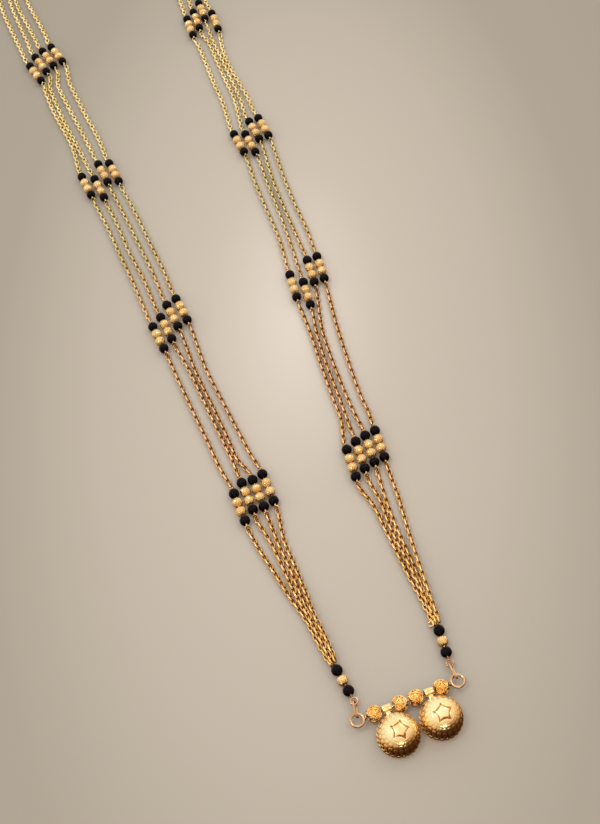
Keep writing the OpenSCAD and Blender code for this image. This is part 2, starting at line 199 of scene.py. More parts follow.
def cadSolids(node):
    # middle of the box of each loose solid in a node
    points, near = cadMesh(node)
    seen, middles = set(), []
    for start in range(len(points)):
        if start in seen:
            continue
        group, edge = [start], [start]
        seen.add(start)
        while edge:
            for other in near[edge.pop()]:
                if other not in seen:
                    seen.add(other)
                    edge.append(other)
                    group.append(other)
        low = [min(points[i][k] for i in group) for k in range(3)]
        high = [max(points[i][k] for i in group) for k in range(3)]
        middles.append(Vector([(low[k] + high[k]) / 2 for k in range(3)]))
    return middles


def cadTubeWay(node, firstRing=0.7):
    # middle line of a swept tube, ring by ring from its end at the bowls
    points, near = cadMesh(node)
    start = min(range(len(points)), key=lambda i: points[i].y)
    ring = {i for i in range(len(points)) if (points[i] - points[start]).length < firstRing}
    seen, way = set(), []
    while ring:
        seen |= ring
        way.append(sum((points[i] for i in ring), Vector()) / len(ring))
        ring = {k for i in ring for k in near[i]} - seen
    return way


def smoothWay(knots, step):
    # dense, evenly spaced points on a smooth curve through the knots
    dense = []
    for n in range(len(knots) - 1):
        p0, p1 = knots[max(n - 1, 0)], knots[n]
        p2, p3 = knots[n + 1], knots[min(n + 2, len(knots) - 1)]
        span = (p2 - p1).length
        m1 = (p2 - p0) * span / max((p2 - p1).length + (p1 - p0).length, 1e-6)
        m2 = (p3 - p1) * span / max((p3 - p2).length + (p2 - p1).length, 1e-6)
        count = max(2, int(span / step * 2))
        for j in range(count):
            t = j / count
            a, b = 2 * t**3 - 3 * t**2 + 1, t**3 - 2 * t**2 + t
            c, d = -2 * t**3 + 3 * t**2, t**3 - t**2
            dense.append(p1 * a + m1 * b + p2 * c + m2 * d)
    dense.append(knots[-1])
    even, gone = [dense[0]], 0.0
    for p, q in zip(dense, dense[1:]):
        length = (q - p).length
        while gone + length >= step:
            p = p + (q - p) * ((step - gone) / length)
            length = (q - p).length
            gone = 0.0
            even.append(p)
        gone += length
    return even


# Material helpers, each node function returns the socket that the next one takes

def newMaterial(name):
    material = bpy.data.materials.new(name)
    material.use_nodes = True
    tree = material.node_tree
    return material, tree, tree.nodes["Principled BSDF"]


def addNode(tree, kind, **values):
    node = tree.nodes.new(kind)
    for key, value in values.items():
        setattr(node, key, value)
    return node


def noiseNode(tree, scale, detail=3.0, rough=0.5):
    # noise over the object's own metres
    where = addNode(tree, "ShaderNodeTexCoord")
    noise = addNode(tree, "ShaderNodeTexNoise")
    noise.inputs["Scale"].default_value = scale
    noise.inputs["Detail"].default_value = detail
    noise.inputs["Roughness"].default_value = rough
    tree.links.new(where.outputs["Object"], noise.inputs["Vector"])
    return noise.outputs["Fac"]


def rangeNode(tree, source, fromSpan=(0, 1), toSpan=(0, 1)):
    span = addNode(tree, "ShaderNodeMapRange")
    span.inputs["From Min"].default_value, span.inputs["From Max"].default_value = fromSpan
    span.inputs["To Min"].default_value, span.inputs["To Max"].default_value = toSpan
    tree.links.new(source, span.inputs["Value"])
    return span.outputs["Result"]


def rampNode(tree, source, stops):
    ramp = addNode(tree, "ShaderNodeValToRGB")
    while len(ramp.color_ramp.elements) < len(stops):
        ramp.color_ramp.elements.new(0.5)
    for element, (at, colour) in zip(ramp.color_ramp.elements, stops):
        element.position = at
        element.color = (*colour, 1)
    tree.links.new(source, ramp.inputs["Fac"])
    return ramp.outputs["Color"]


def mixNode(tree, how, amount, first, second):
    mix = addNode(tree, "ShaderNodeMix", data_type="RGBA", blend_type=how)
    if isinstance(amount, float):
        mix.inputs["Factor"].default_value = amount
    else:
        tree.links.new(amount, mix.inputs["Factor"])
    for socket, value in ((mix.inputs[6], first), (mix.inputs[7], second)):
        if isinstance(value, tuple):
            socket.default_value = (*value, 1)
        else:
            tree.links.new(value, socket)
    return mix.outputs[2]


def addWear(tree, skin, look, wear, deep):
    # fine marks in the gloss and as bumps, deep in millimetres
    rough = rangeNode(tree, wear, toSpan=(look["smoothest"], look["roughest"]))
    tree.links.new(rough, skin.inputs["Roughness"])
    bump = addNode(tree, "ShaderNodeBump")
    bump.inputs["Strength"].default_value = look["bump"]
    bump.inputs["Distance"].default_value = deep * mm
    tree.links.new(wear, bump.inputs["Height"])
    tree.links.new(bump.outputs["Normal"], skin.inputs["Normal"])


def goldMaterial(name, look):
    # polished gold: two tones that drift over the piece, painted shade in hollows from ambient occlusion and
    # from each point's painted shade, fine scratches
    material, tree, skin = newMaterial(name)
    skin.inputs["Metallic"].default_value = 1.0
    drift = noiseNode(tree, look["driftScale"], 2.0)
    colour = rampNode(tree, drift, [(0.35, look["deep"]), (0.65, look["pale"])])
    # painted shade: ambient occlusion darkens the base colour where other surfaces lie close
    if "hollow" in look:
        occlusion = addNode(tree, "ShaderNodeAmbientOcclusion", samples=6, only_local=True)
        occlusion.inputs["Distance"].default_value = look["hollowReach"] * mm
        darkest, clean = look["hollowSpan"]
        hollow = rampNode(tree, occlusion.outputs["AO"], [(darkest, look["hollow"]), (clean, (1, 1, 1))])
        colour = mixNode(tree, "MULTIPLY", 1.0, colour, hollow)
    # painted shade: each point's painted shade mixes the base colour towards a dark colour
    if "paintedShade" in look:
        depth = addNode(tree, "ShaderNodeAttribute", attribute_name="paintedShade")
        colour = mixNode(tree, "MIX", depth.outputs["Fac"], colour, look["paintedShade"])
    if "tints" in look:
        where = addNode(tree, "ShaderNodeTexCoord")
        split = addNode(tree, "ShaderNodeSeparateXYZ")
        tree.links.new(where.outputs["Object"], split.inputs["Vector"])
        along = rangeNode(tree, split.outputs["Y"], [y * mm for y in look["tintSpan"]])
        colour = mixNode(tree, "MULTIPLY", 1.0, colour, rampNode(tree, along, look["tints"]))
    tree.links.new(colour, skin.inputs["Base Color"])
    addWear(tree, skin, look, noiseNode(tree, look["wearScale"], 4.0, 0.6), 0.02)
    return material


bowlGold = goldMaterial("bowl gold", {
    "deep": (0.99, 0.66, 0.29), "pale": (0.97, 0.83, 0.47), "driftScale": 260, "paintedShade": (0.40, 0.16, 0.05),
    "hollow": (0.62, 0.36, 0.16), "hollowReach": 0.25, "hollowSpan": (0.25, 0.70),
    "wearScale": 1900, "smoothest": 0.14, "roughest": 0.28, "bump": 0.22,
})
ballGold = goldMaterial("ball gold", {
    "deep": (1.0, 0.60, 0.17), "pale": (1.0, 0.79, 0.36), "driftScale": 330, "paintedShade": (0.82, 0.38, 0.05),
    "hollow": (0.95, 0.58, 0.16), "hollowReach": 0.35, "hollowSpan": (0.2, 0.6),
    "wearScale": 2100, "smoothest": 0.20, "roughest": 0.34, "bump": 0.15,
})
beadGold = goldMaterial("bead gold", {
    "deep": (0.82, 0.52, 0.20), "pale": (0.94, 0.74, 0.40), "driftScale": 420, "paintedShade": (0.42, 0.19, 0.05),
    "wearScale": 2600, "smoothest": 0.18, "roughest": 0.30, "bump": 0.15,
})
wireGold = goldMaterial("wire gold", {
    "deep": (0.46, 0.25, 0.13), "pale": (0.78, 0.53, 0.32), "driftScale": 420,
    "hollow": (0.42, 0.22, 0.11), "hollowReach": 0.4, "hollowSpan": (0.35, 0.85),
    "wearScale": 2300, "smoothest": 0.08, "roughest": 0.16, "bump": 0.12,
})
chainGold = goldMaterial("chain gold", {
    "deep": (0.92, 0.81, 0.58), "pale": (1.10, 1.03, 1.08), "driftScale": 260, "paintedShade": (0.13, 0.05, 0.015),
    "hollow": (0.40, 0.18, 0.08), "hollowReach": 0.50, "hollowSpan": (0.3, 0.8),
    "wearScale": 2600, "smoothest": 0.12, "roughest": 0.24, "bump": 0.10,
    # tints that darken it, from yellow gold at the bowls over rosy to a greenish gold near the nape
    "tintSpan": (-160, 90), "tints": [
        (0.0, (0.98, 0.70, 0.30)), (0.22, (0.92, 0.62, 0.29)), (0.32, (0.80, 0.53, 0.29)),
        (0.50, (0.80, 0.57, 0.31)), (0.60, (0.70, 0.63, 0.35)), (0.75, (0.86, 0.78, 0.42)),
        (1.0, (1.0, 0.88, 0.47)),
    ],
})


def glassMaterial(name, look):
    # polished black glass with a faint violet cast
    material, tree, skin = newMaterial(name)
    drift = noiseNode(tree, look["driftScale"], 2.0)
    colour = rampNode(tree, drift, [(0.3, look["deep"]), (0.7, look["pale"])])
    tree.links.new(colour, skin.inputs["Base Color"])
    skin.inputs["Specular IOR Level"].default_value = look["gloss"]
    skin.inputs["Specular Tint"].default_value = (*look["sheen"], 1)
    addWear(tree, skin, look, noiseNode(tree, look["wearScale"]), 0.03)
    return material


blackGlass = glassMaterial("black glass", {
    "deep": (0.001, 0.0004, 0.0006), "pale": (0.003, 0.001, 0.002), "driftScale": 500,
    "gloss": 0.10, "sheen": (0.86, 0.80, 1.0),
    "wearScale": 900, "smoothest": 0.12, "roughest": 0.17, "bump": 0.04,
})


# Camera, floor and light

photoCamera = {
    "place": (-48.9, -288.4, 290.1), "heading": 14.5, "elevation": 53.79, "roll": -5.85, "lens": 59.81,
}


def placeCamera(look):
    heading, lift = inRadians(look["heading"], look["elevation"])
    ahead = Vector((math.sin(heading) * math.cos(lift), math.cos(heading) * math.cos(lift), -math.sin(lift)))
    right = Vector((math.cos(heading), -math.sin(heading), 0))
    up = right.cross(ahead)
    turn = Matrix((right, up, -ahead)).transposed().to_4x4()
    place = Matrix.Translation(Vector(look["place"]) * mm) @ turn
    data = bpy.data.cameras.new("photoCamera")
    data.lens = look["lens"]
    data.sensor_width = 36
    data.clip_start, data.clip_end = 0.01, 20
    camera = bpy.data.objects.new("photoCamera", data)
    camera.matrix_world = place @ Matrix.Rotation(math.radians(look["roll"]), 4, "Z")
    bpy.context.scene.collection.objects.link(camera)
    bpy.context.scene.camera = camera


floorLook = {
    "across": 24000, "wallFrom": 0.6, "wallHigh": 1800, "sidesRound": 64,
    # the painted pool of light under the necklace: its middle, half its size, its turn, and the tones
    # outward from it, darker away from the middle
    "glowAt": (14.4, -51.3), "glowHalf": (111.5, 260), "heading": 18.0, "toneSpan": (0, 1.5), "tones": [
        (0.0, (0.690, 0.640, 0.605)), (0.15, (0.540, 0.490, 0.450)), (0.33, (0.468, 0.431, 0.393)),
        (0.5, (0.372, 0.342, 0.302)), (1.0, (0.338, 0.312, 0.275)),
    ],
}


def floorMaterial(look):
    material, tree, skin = newMaterial("pale floor")
    # painted pool of light: the floor's colour is lightest at the patch's middle and darker outward
    where = addNode(tree, "ShaderNodeTexCoord")
    glow = addNode(tree, "ShaderNodeMapping", vector_type="TEXTURE")
    glow.inputs["Location"].default_value = (look["glowAt"][0] * mm, look["glowAt"][1] * mm, 0)
    glow.inputs["Rotation"].default_value = (0, 0, -math.radians(look["heading"]))
    glow.inputs["Scale"].default_value = (look["glowHalf"][0] * mm, look["glowHalf"][1] * mm, 1)
    tree.links.new(where.outputs["Object"], glow.inputs["Vector"])
    far = addNode(tree, "ShaderNodeVectorMath", operation="LENGTH")
    tree.links.new(glow.outputs["Vector"], far.inputs[0])
    outward = rangeNode(tree, far.outputs["Value"], look["toneSpan"])
    tree.links.new(rampNode(tree, outward, look["tones"]), skin.inputs["Base Color"])
    skin.inputs["Roughness"].default_value = 0.9
    skin.inputs["Specular IOR Level"].default_value = 0.0
    return material


def layFloor(look):
    # flat round floor that sweeps up into a low wall far away
    reach, flat, wall, count = look["across"] / 2, look["wallFrom"], look["wallHigh"], look["sidesRound"]
    profile = []
    for a in inRadians(*range(90, -1, -10)):
        profile.append((reach * (flat + (1 - flat) * math.sin(a)), wall * (1 - math.cos(a))))
    profile += [(reach * 0.5, 0), (100, 0)]
    points, faces = revolve(profile, count)
    faces.append(list(range(len(points) - count, len(points))))  # the middle, where the necklace lies
    shape = Shape()
    shape.add(points, faces)
    floor = meshObject("floor", shape, floorMaterial(look))
    floor.visible_glossy = False


lightLook = {
    "softboxes": [
        # name, place, aim, width, depth, watts, colour
        ("key", (-260, -60, 640), (0, -60, 0), 95, 95, 0.55, (1.0, 0.96, 0.90)),
        ("fill", (380, 120, 560), (0, -60, 0), 200, 200, 0.30, (1.0, 0.95, 0.88)),
        ("front", (-60, -700, 190), (0, -120, 0), 260, 60, 0.25, (1.0, 0.90, 0.80)),
    ],
    # tones of the room, from dark low in front to a bright wall behind and overhead
    "skyToward": (-0.12, 0.62, 0.78), "skyStrength": 1.35, "sky": [
        (0.0, (0.03, 0.012, 0.005)), (0.24, (0.08, 0.033, 0.013)), (0.34, (0.42, 0.25, 0.12)),
        (0.45, (0.62, 0.45, 0.29)), (0.60, (0.72, 0.65, 0.55)), (0.80, (0.82, 0.79, 0.72)),
        (1.0, (0.83, 0.82, 0.76)),
    ],
}


def addSoftbox(name, place, aim, width, depth, watts, colour):
    data = bpy.data.lights.new(name, "AREA")
    data.shape = "RECTANGLE"
    data.size, data.size_y = width * mm, depth * mm
    data.energy = watts
    data.color = colour
    lamp = bpy.data.objects.new(name, data)
    lamp.location = Vector(place) * mm
    toward = Vector(aim) * mm - lamp.location
    lamp.rotation_mode = "QUATERNION"
    lamp.rotation_quaternion = toward.to_track_quat("-Z", "Y")
    bpy.context.scene.collection.objects.link(lamp)


def lightStudio(look):
    for softbox in look["softboxes"]:
        addSoftbox(*softbox)
    world = bpy.data.worlds.new("studio")
    world.use_nodes = True
    tree = world.node_tree
    where = addNode(tree, "ShaderNodeTexCoord")
    along = addNode(tree, "ShaderNodeVectorMath", operation="DOT_PRODUCT")
    tree.links.new(where.outputs["Generated"], along.inputs[0])
    along.inputs[1].default_value = Vector(look["skyToward"]).normalized()
    sky = rampNode(tree, rangeNode(tree, along.outputs["Value"], (-1, 1)), look["sky"])
    tree.links.new(sky, tree.nodes["Background"].inputs["Color"])
    tree.nodes["Background"].inputs["Strength"].default_value = look["skyStrength"]
    bpy.context.scene.world = world
    bpy.context.scene.view_settings.view_transform = "Standard"


placeCamera(photoCamera)
layFloor(floorLook)
lightStudio(lightLook)
print("stage set")


# Where the pendant and the short strings lie, from the same sizes as the solids

pendant = {
    "turn": 2.0, "barZ": 1.85, "wireD": 0.6, "play": 0.12, "eyeX": 12.3, "eyeR": 1.5,
    "bailX": 5.2, "bailReach": 6.577, "bowlD": 10.0, "skirt": 1.2,
    "ballX": (-8.25, -1.9, 1.9, 8.25), "ballD": 3.7, "beadD": 2.7, "beadGap": 0.15,
}
wireLow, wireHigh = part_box("pendant_wire")
wireMiddle = Vector((
    (wireLow.x + wireHigh.x) / 2, (wireLow.y + wireHigh.y) / 2, pendant["barZ"] * mm,
)) / mm
onWire = Matrix.Translation(wireMiddle) @ Matrix.Rotation(math.radians(pendant["turn"]), 4, "Z")
threadHole = pendant["wireD"] / 2 + pendant["play"]


# Bowls

bowlLook = {
    # rings of points from the top down, finer as far as the end of the smooth cap
    "around": 360, "firstRing": 0.04, "domeRing": 0.055, "skirtRing": 0.08, "fineTo": 2.62,
    "wall": 0.5, "rimLedge": 0.1, "scallopD": 1.0,
    # star sunk in the cap, with a groove round it that is wider and deeper at the star's foot, and painted
    # shade in the groove that is heaviest at the foot
    "starTip": 2.45, "starNotch": 1.55, "starDeep": 0.20, "starWall": 0.16,
    "starTurns": {"left": -24, "right": -7},
    "grooveAt": 0.10, "grooveHalf": 0.11, "grooveDeep": 0.15, "footDeeper": 0.8, "footWider": 0.12,
    "cordAt": 2.72, "cordHalf": 0.10, "cordHigh": 0.04,
    # rows of leaves: from and to in mm from the top, how many, how high, how much painted shade between
    # them, more on the lower rows
    "leafRows": [
        (2.85, 3.8, 24, 0.02, 0.12), (3.75, 5.0, 20, 0.045, 0.30),
        (4.9, 6.3, 22, 0.09, 0.60), (6.2, 7.6, 24, 0.13, 1.0),
    ],
    "leafTaper": 0.45, "midribDeep": 0.35, "midribHalf": 0.07,
    # insideDark is the painted shade on the bowl's inner wall
    "lobes": 24, "lobeHigh": 0.2, "lobeDeep": 0.16, "insideDark": 0.5,
    # solder strap and ribbed bail tube
    "strapHalf": (0.72, 0.42), "strapSwell": 0.25, "strapSink": 0.35, "strapOver": 0.05,
    "bailD": 2.0, "bailLen": 2.2, "bailEdge": 0.06, "bailRibs": 6, "ribR": 0.42, "bailAround": 120,
}
bowlR = pendant["bowlD"] / 2 - bowlLook["scallopD"] / 5
bowlArc = bowlR * math.pi / 2 + pendant["skirt"]  # from the top to the rim


def starInside(turn, arc):
    # how deep a point lies inside the hollow-sided star of five points, negative outside
    tip, notch, halfPoint = bowlLook["starTip"], bowlLook["starNotch"], math.radians(36)
    c = (tip**2 - notch**2) / (2 * (tip * math.cos(halfPoint) - notch))
    off = turn % (2 * halfPoint) - halfPoint
    sideBow = math.hypot(arc * math.cos(off) - c, arc * math.sin(off)) - (c - notch)
    return min(sideBow, (tip - arc) * 0.7)


def starRelief(turn, arc, starTurn):
    # height of the smooth cap with its sunk star, and the painted shade in its groove
    look = bowlLook
    inside = starInside(turn - starTurn, arc)
    foot = smoothStep((-math.sin(turn) - 0.6) / 0.4)  # 1 straight below the star
    half = look["grooveHalf"] + look["footWider"] * foot
    groove = math.exp(-(((inside - look["grooveAt"]) / half) ** 2))
    deep = look["grooveDeep"] * (1 + look["footDeeper"] * foot)
    high = -look["starDeep"] * smoothStep(inside / look["starWall"] + 0.5) - deep * groove
    # painted shade in the groove, heavier straight below the star
    return high, (0.7 + 0.3 * foot) * groove


def leafRelief(u, v, halfWide, halfLong):
    # one pointed leaf with a midrib, 0 on the ground to 1 on its back
    narrow = halfWide * (1 - bowlLook["leafTaper"] * smoothStep((v / halfLong + 1) / 2))
    d = (u / narrow) ** 2 + (v / halfLong) ** 2
    midrib = bowlLook["midribDeep"] * math.exp(-((u / bowlLook["midribHalf"]) ** 2))
    return math.sqrt(max(0.0, 1 - d)) * (1 - midrib)


def bowlRelief(turn, arc, starTurn):
    # height of the chased surface over the plain dome and its painted shade, arc in mm from the top
    look = bowlLook
    if arc < look["fineTo"]:
        return starRelief(turn, arc, starTurn)
    radius = bowlR * math.sin(min(arc / bowlR, math.pi / 2))
    lobesFrom = look["leafRows"][-1][1]
    if arc > lobesFrom - 0.05:
        step = 2 * math.pi / look["lobes"]
        u = ((turn / step) % 1 - 0.5) * 2
        v = (arc - lobesFrom) / (bowlArc - lobesFrom) * 2 - 1
        swell = math.sqrt(max(0.0, 1 - u * u)) * math.sqrt(max(0.0, 1 - v * v))
        high = (look["lobeHigh"] + look["lobeDeep"]) * swell - look["lobeDeep"]
        # painted shade in the dips between the lobes
        return high, 1 - smoothStep(swell * 2.2)
    high = max(0.0, 1 - ((arc - look["cordAt"]) / look["cordHalf"]) ** 2) * look["cordHigh"]
    dark = 0.0
    for k, (start, end, count, tall, shade) in enumerate(look["leafRows"]):
        if start < arc < end:
            step = 2 * math.pi / count
            u = ((turn / step + 0.5 * (k % 2)) % 1 - 0.5) * step * radius
            back = leafRelief(u, arc - (start + end) / 2, step * radius * 0.5, (end - start) / 2)
            if dark == 0.0 or back * tall > high:
                # painted shade on the ground between the leaves
                high, dark = back * tall, shade * (1 - smoothStep(back * 2.6))
    return high, dark


def bowlPoint(turn, arc, lift):
    # point on the dome or its skirt, arc mm from the top and lifted off the plain surface
    r, skirt = bowlR + lift, pendant["skirt"]
    if arc < bowlR * math.pi / 2:
        a = arc / bowlR
        x, y = r * math.sin(a) * math.cos(turn), r * math.sin(a) * math.sin(turn)
        return Vector((x, y, skirt + r * math.cos(a)))
    down = arc - bowlR * math.pi / 2
    return Vector((r * math.cos(turn), r * math.sin(turn), skirt - down))


def bowlShell(starTurn):
    # chased outside from the top to the rim, then the plain inner wall back up to the middle, the inner wall
    # painted dark as shade
    look = bowlLook
    turns = turnsRound(look["around"])
    rows, paintedShade = [], []
    arc = look["firstRing"]
    while arc < bowlArc:
        relief = [bowlRelief(t, arc, starTurn) for t in turns]
        rows.append([bowlPoint(t, arc, high) for t, (high, dark) in zip(turns, relief)])
        paintedShade += [dark for high, dark in relief]
        arc += look["domeRing"] if arc < look["fineTo"] else look["skirtRing"]
    inner, skirt = bowlR - look["wall"], pendant["skirt"]
    inside = [(bowlR - look["rimLedge"], 0.0), (inner, 0.0), (inner, skirt)]
    inside += [(inner * math.cos(a), skirt + inner * math.sin(a)) for a in inRadians(*range(9, 90, 9))]
    inside.append((0.05, skirt + inner))
    rows += [ringRow(r, z, look["around"]) for r, z in inside]
    # painted shade on the inner wall
    paintedShade += [look["insideDark"]] * len(turns) * len(inside)
    return *bridge(rows, caps=True), paintedShade


def bailStrap():
    # oval solder strap from the rim to the bail, waisted in the middle
    look = bowlLook
    wide, tall = look["strapHalf"]
    start, length = bowlR - look["strapSink"], pendant["bailReach"] - bowlR + look["strapOver"]
    rows = []
    for n in range(9):
        swell = 1 + look["strapSwell"] * (n / 4 - 1) ** 2
        y = start + length * n / 8
        oval = [(wide * math.cos(a), tall * math.sin(a)) for a in turnsRound(24)]
        rows.append([Vector((x * swell, y, z * swell)) for x, z in oval])
    return bridge(rows)


def bailTube():
    # ribbed tube along X with softened ends, and its bore
    look = bowlLook
    half, edge, ribs = look["bailLen"] / 2, look["bailEdge"], look["bailRibs"]
    hub, around = look["bailD"] / 2 - look["ribR"], look["bailAround"]
    outline = []
    for j, a in enumerate(turnsRound(around)):
        off = ((j / around * ribs + 0.5) % 1 - 0.5) * 2 * math.pi / ribs
        rib = math.sqrt(look["ribR"] ** 2 - (hub * math.sin(off)) ** 2)
        outline.append((a, hub * math.cos(off) + rib))
    bore = [(a, threadHole) for a, r in outline]
    eased = [(a, r - edge) for a, r in outline]
    rows = []
    for x, section in (
        (-half, bore), (-half, eased), (edge - half, outline),
        (half - edge, outline), (half, eased), (half, bore),
    ):
        rows.append([Vector((x, r * math.cos(a), r * math.sin(a))) for a, r in section])
    return bridge(rows, closed=True)


def makeBowl(side):
    points, faces, paintedShade = bowlShell(math.radians(90 + bowlLook["starTurns"][side]))
    shape = Shape()
    shape.add(points, faces, None, paintedShade)
    shape.add(*bailStrap())
    reach = pendant["bailReach"]
    shape.add(*bailTube(), Matrix.Translation((0, reach, 0)))
    # the bowl leans from the wire down to the floor, where its rim rests
    tilt = math.asin(pendant["barZ"] / (reach + pendant["bowlD"] / 2))
    shape.move(
        onWire @ Matrix.Translation((sides[side] * pendant["bailX"], 0, 0)) @ Matrix.Rotation(tilt, 4, "X")
        @ Matrix.Translation((0, -reach, 0))
    )
    makePiece(f"bowl_{side}_chased", shape, bowlGold, f"bowl_{side}")


for side in sides:
    makeBowl(side)
print("bowls made")


# Rosette balls

ballLook = {
    # gapDark and dishDark are painted shade between the rosettes and in the groove round each dot
    "coreD": 3.0, "holeDeep": 0.4, "spin": 37, "gapDark": 0.55,
    "rosetteR": 0.95, "lip": 0.15, "innerRing": 0.50, "innerWire": 0.07, "dot": 0.22,
    "dishDark": 0.45, "dishAround": 36,
}


def torus(major, minor, height, around=36, across=10):
    turns = [2 * math.pi * j / across for j in range(across + 1)]
    return revolve([(major + minor * math.cos(a), height + minor * math.sin(a)) for a in turns], around)


def ballCore():
    # plain ball, painted dark as shade where it shows between the rosettes, its hole along Z
    core, deep = ballLook["coreD"] / 2, ballLook["holeDeep"]
    start = math.asin(threadHole / core)
    turns = [start + (math.pi - 2 * start) * k / 24 for k in range(25)]
    profile = [(threadHole, core * math.cos(start) - deep)]
    profile += [(core * math.sin(a), core * math.cos(a)) for a in turns]
    profile += [(threadHole, -core * math.cos(start) + deep)]
    return revolve(profile, 40)


def rosetteForms():
    # dish with a raised lip, an inner ring and a dot on top of the ball, with painted shade in the groove
    # round the dot
    look = ballLook
    outer, lip, inner, dot = look["rosetteR"], look["lip"], look["innerRing"], look["dot"]
    around = look["dishAround"]
    seat = math.sqrt((pendant["ballD"] / 2) ** 2 - outer**2)
    dish, dishFaces = revolve([
        (outer - 0.04, 1.0), (outer - lip, seat - 0.35), (outer - 2 * lip, seat - 0.05), (inner, seat),
        (inner - 0.06, seat - 0.04), (dot + 0.03, seat - 0.06), (0.02, seat - 0.10),
    ], around)
    # painted shade in the groove round the dot
    dishPaintedShade = [look["dishDark"] if n // around in (4, 5) else 0.0 for n in range(len(dish))]
    button = [(dot * math.cos(a), seat - 0.02 + dot * math.sin(a)) for a in inRadians(0, 22, 45, 68, 86)]
    return [
        (dish, dishFaces, dishPaintedShade), (*torus(outer - lip, lip, seat - 0.02), None),
        (*torus(inner, look["innerWire"], seat + 0.02, 28, 8), None), (*revolve(button, 16), None),
    ]


def makeBall(n):
    shape = Shape()
    points, faces = ballCore()
    # painted shade over the whole core, seen only between the rosettes
    shape.add(points, faces, Matrix.Rotation(math.pi / 2, 4, "Y"), [ballLook["gapDark"]] * len(points))
    # five rosettes above the waist and five below, as on the faces of a twelve-sided die
    forms = rosetteForms()
    for turn, lean in ((0, math.atan(0.5)), (36, -math.atan(0.5))):
        for k in range(5):
            place = Matrix.Rotation(math.radians(72 * k + turn), 4, "X") @ Matrix.Rotation(lean, 4, "Y")
            for points, faces, paintedShade in forms:
                shape.add(points, faces, place, paintedShade)
    place = onWire @ Matrix.Translation((pendant["ballX"][n - 1], 0, 0))
    shape.move(place @ Matrix.Rotation(math.radians(ballLook["spin"] * n), 4, "X"))
    makePiece(f"bar_ball_{n}_rosettes", shape, ballGold, f"bar_ball_{n}")


for n in range(1, 5):
    makeBall(n)
print("rosette balls made")


# Pendant wire, links and pins

wireLook = {
    "eyeWire": 0.70, "wrapTurns": 2, "wrapLong": 0.3, "wrapWire": 0.24,
    "linkLen": 4.6, "linkW": 2.0, "linkWire": 0.5, "linkRoll": 65,
    "pinWire": 0.44, "pinEyes": (2.1, 1.6), "pinNeck": 0.3,
}


def makePendantWire():
    look = wireLook
    shape = Shape()
    wire = pendant["wireD"] / 2
    reach = pendant["eyeX"] - pendant["eyeR"]
    shape.add(*sweep([(-reach, 0, 0), (0, 0, 0), (reach, 0, 0)], wire, 24))
    steps, coilR = look["wrapTurns"] * 20, wire + look["wrapWire"] / 2
    for outward in sides.values():
        eye = Matrix.Translation((outward * pendant["eyeX"], 0, 0))
        shape.add(*wireRing(pendant["eyeR"], look["eyeWire"], 64, 20), eye)
        coil = []
        for j in range(steps + 1):
            a = 2 * math.pi * j / 20
            x = reach - wire - look["wrapLong"] + look["wrapLong"] * j / steps
            coil.append((outward * x, coilR * math.cos(a), coilR * math.sin(a)))
        shape.add(*sweep(coil, look["wrapWire"] / 2, 10))
    shape.move(onWire)
    makePiece("pendant_wire_round", shape, wireGold, "pendant_wire")


def stringPlace(side):
    # middles of the pin's two eyes and the direction of its string, from the beads on it
    blacks = sorted(cadSolids(f"drop_black_{side}"), key=lambda p: p.y)
    along = (blacks[1] - blacks[0]).normalized()
    toEye = pendant["beadGap"] + pendant["beadD"] / 2
    low, top = [d / 2 + toEye for d in wireLook["pinEyes"]]
    return blacks[0] - along * (low + wireLook["pinNeck"]), blacks[1] + along * top, along


def makeDropPin(side):
    low, high, along = stringPlace(side)
    shape = Shape()
    wire = wireLook["pinWire"]
    lowEye, topEye = [d / 2 - wire / 2 for d in wireLook["pinEyes"]]
    shape.add(*wireRing(lowEye, wire, 44, 16), Matrix.Translation(low))
    shape.add(*wireRing(topEye, wire, 44, 16), Matrix.Translation(high))
    shape.add(*sweep([low + along * lowEye, (low + high) / 2, high - along * topEye], wire / 2, 16))
    makePiece(f"drop_pin_{side}_round", shape, wireGold, f"drop_pin_{side}")
    return low


def makeLink(side, pinEye):
    # oval link between the wire's eye and the pin's lower eye
    look = wireLook
    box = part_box(f"link_{side}")
    middle = (box[0] + box[1]) / 2 / mm
    eye = onWire @ Vector((sides[side] * pendant["eyeX"], 0, 0))
    toPin = Vector((pinEye.x - eye.x, pinEye.y - eye.y, 0)).normalized()
    start = eye + toPin * pendant["eyeR"]
    end = pinEye - toPin * (look["pinEyes"][0] - look["pinWire"]) / 2
    halfWide = (look["linkW"] - look["linkWire"]) / 2
    straight = (look["linkLen"] - look["linkW"]) / 2
    way = []
    for turn, y in ((0, straight), (math.pi, -straight)):
        for j in range(13):
            a = turn + math.pi * j / 12
            way.append((halfWide * math.cos(a), y + halfWide * math.sin(a), 0))
    shape = Shape()
    place = aimY(end - start, math.radians(look["linkRoll"]), middle)
    shape.add(*sweep(way, look["linkWire"] / 2, 16, True), place)
    makePiece(f"link_{side}_oval", shape, wireGold, f"link_{side}")


makePendantWire()
for side in sides:
    makeLink(side, makeDropPin(side))
print("wire, links and pins made")


# Beads

beadLook = {
    "hole": 0.35, "holeDeep": 0.3, "holeTaper": 0.9, "glassEdge": 0.08,
    "facetRows": 9, "facets": 12, "dent": 0.055, "dentDark": 0.4,
}


